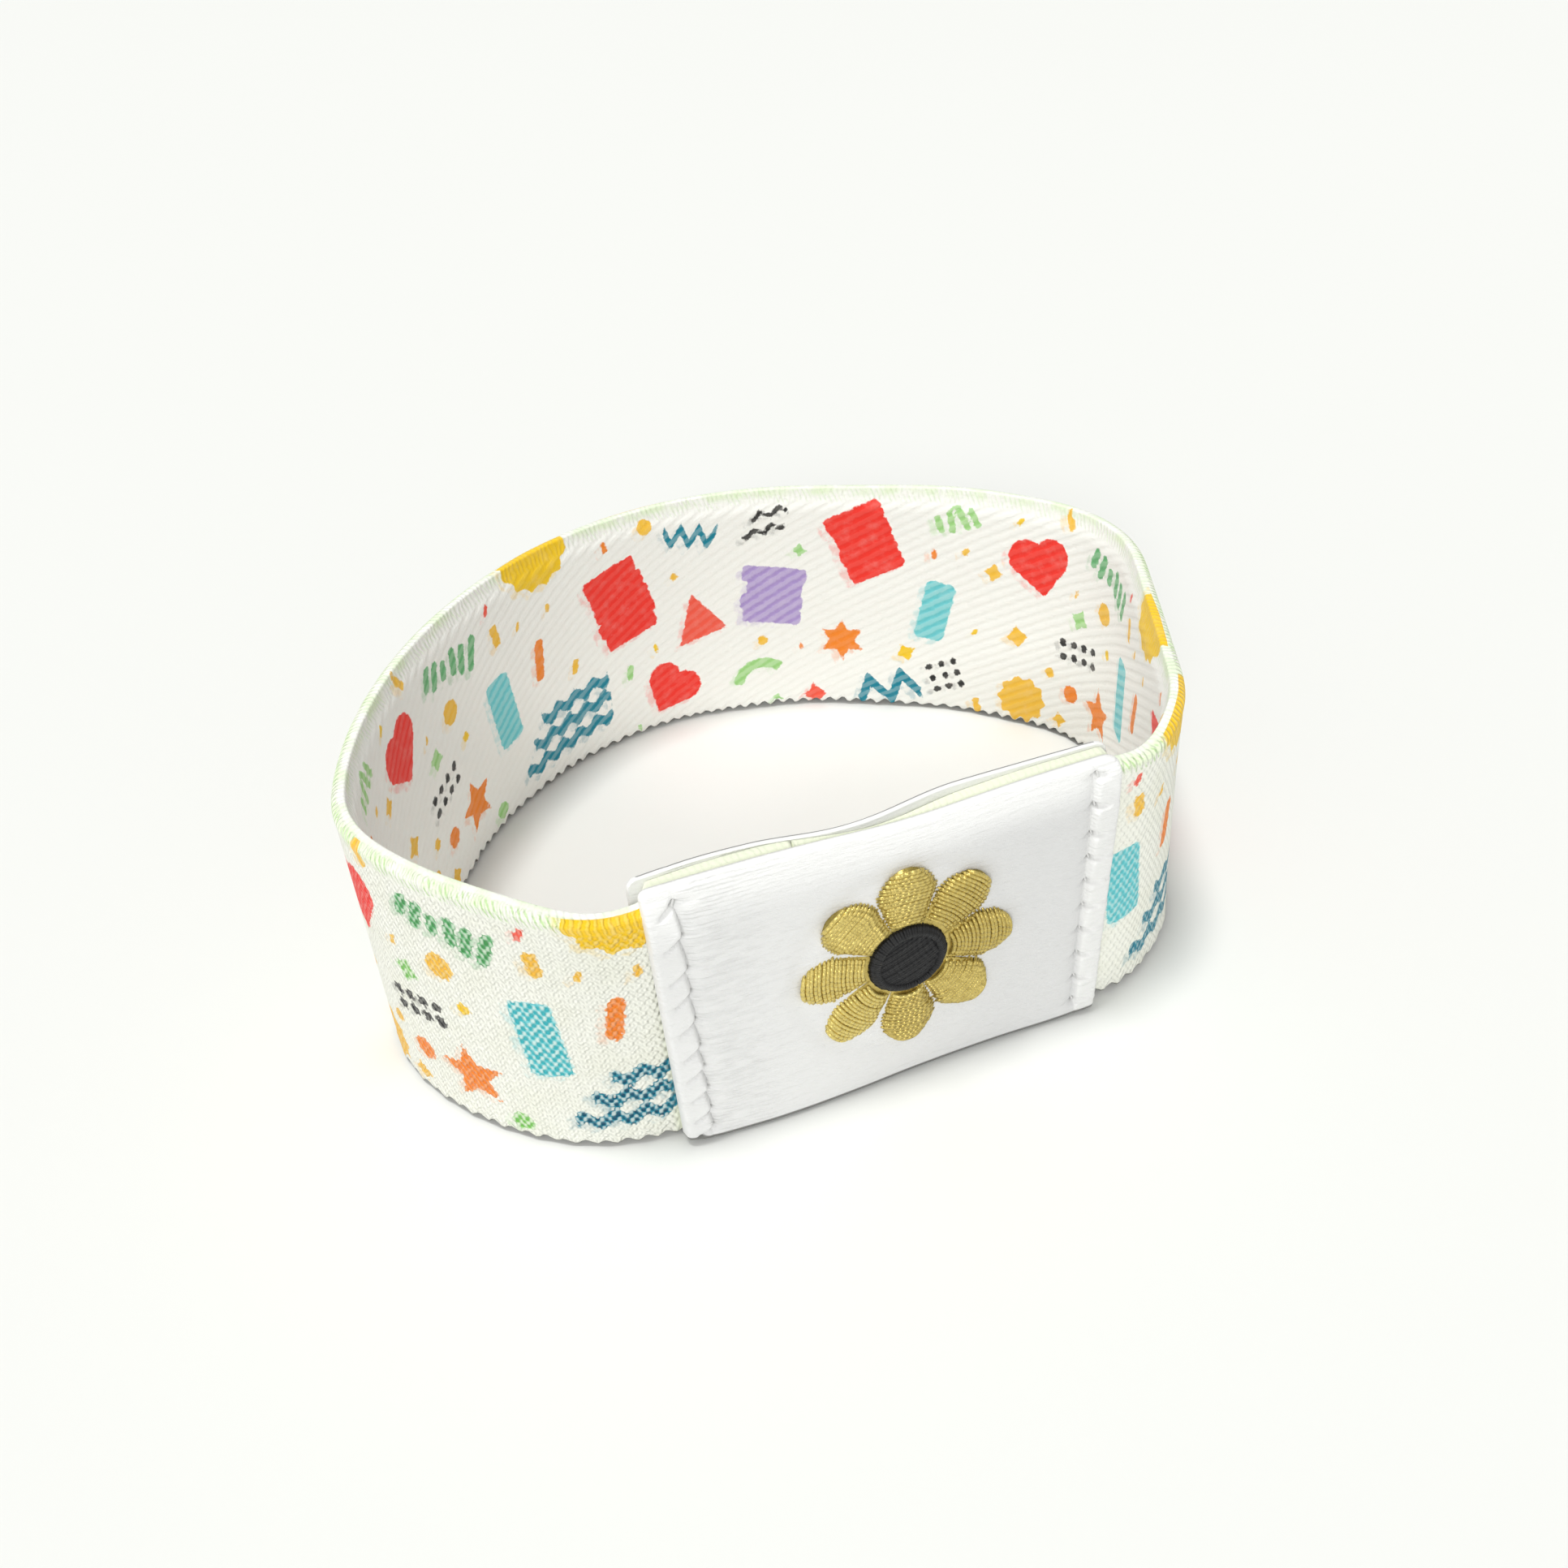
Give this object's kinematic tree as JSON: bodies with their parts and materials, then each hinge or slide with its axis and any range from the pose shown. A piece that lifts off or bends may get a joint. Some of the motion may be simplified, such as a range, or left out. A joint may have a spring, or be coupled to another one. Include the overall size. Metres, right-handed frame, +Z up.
{
  "type": "stretch wristband",
  "caption": "Printed woven elastic strap closed into a loop by a sewn two-panel label with an embroidered flower.",
  "frame": {"origin": "under the middle of the whole wristband, on the surface that its lower edge rests on", "axes": "+Z up, along the strap's width; the label faces -Y; +X runs along the label to the right as it is read from outside"},
  "size_m": [0.0582, 0.0444, 0.0208],
  "materials": {
    "printed_elastic": "matte woven elastic with a scattered colour print",
    "label_face": "soft satin white leatherette",
    "label_lining": "soft satin white leatherette",
    "gold_thread": "shiny satin stitch",
    "black_thread": "dense satin stitch"
  },
  "bodies": {
    "root": {"elastic_strap": "printed_elastic", "label_front": "label_face", "label_back": "label_lining", "flower_petals": "gold_thread", "flower_centre": "black_thread"}
  },
  "joints": []
}
